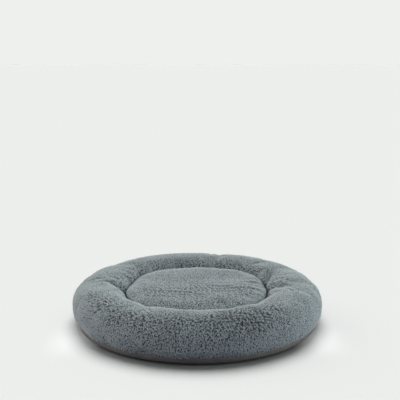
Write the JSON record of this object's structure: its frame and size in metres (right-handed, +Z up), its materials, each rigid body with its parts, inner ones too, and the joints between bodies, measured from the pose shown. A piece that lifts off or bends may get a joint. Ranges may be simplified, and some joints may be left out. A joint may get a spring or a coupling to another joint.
{
  "type": "round pet bed",
  "caption": "Low round pet bed: a stuffed plush ring on a cloth base, closed by a zip at the back, round a loose stuffed plush cushion.",
  "frame": {"origin": "centre of the base panel's underside, on the floor, under the middle of the ring", "axes": "+Z up, along the ring's axis; the zip is at the back, at +Y"},
  "size_m": [0.6, 0.6, 0.101],
  "materials": {
    "plush": "matte",
    "base_cloth": "matte",
    "lining": "matte",
    "stuffing": "matte",
    "zip_tape": "matte",
    "zip_coil": "satin",
    "zip_metal": "satin"
  },
  "bodies": {
    "bed": {"ring_cover": "plush", "ring_fill": "stuffing", "base_panel": "base_cloth", "base_wadding": "stuffing", "nest_floor": "lining", "zip_tape_upper": "zip_tape", "zip_tape_lower": "zip_tape", "zip_coil_upper": "zip_coil", "zip_coil_lower": "zip_coil", "zip_stop_start": "zip_metal", "zip_stop_end": "zip_metal"},
    "cushion": {"cushion_cover": "plush", "cushion_base": "lining", "cushion_fill": "stuffing"},
    "zip_slider": {"zip_slider": "zip_metal"},
    "zip_pull": {"zip_pull": "zip_metal"}
  },
  "joints": [
    {"name": "cushion_lift", "type": "slide", "parent": "bed", "child": "cushion", "axis": [0, 0, 1], "range_m": [0, 0.15]},
    {"name": "slider_run", "type": "hinge", "parent": "bed", "child": "zip_slider", "pos_m": [0, 0, 0.0284], "axis": [0, 0, 1], "range_deg": [0, 67.9]},
    {"name": "pull_swing", "type": "hinge", "parent": "zip_slider", "child": "zip_pull", "pos_m": [0.16536, 0.24558, 0.02767], "axis": [-0.1813, -0.2693, -0.9458], "range_deg": [0, 180]}
  ]
}
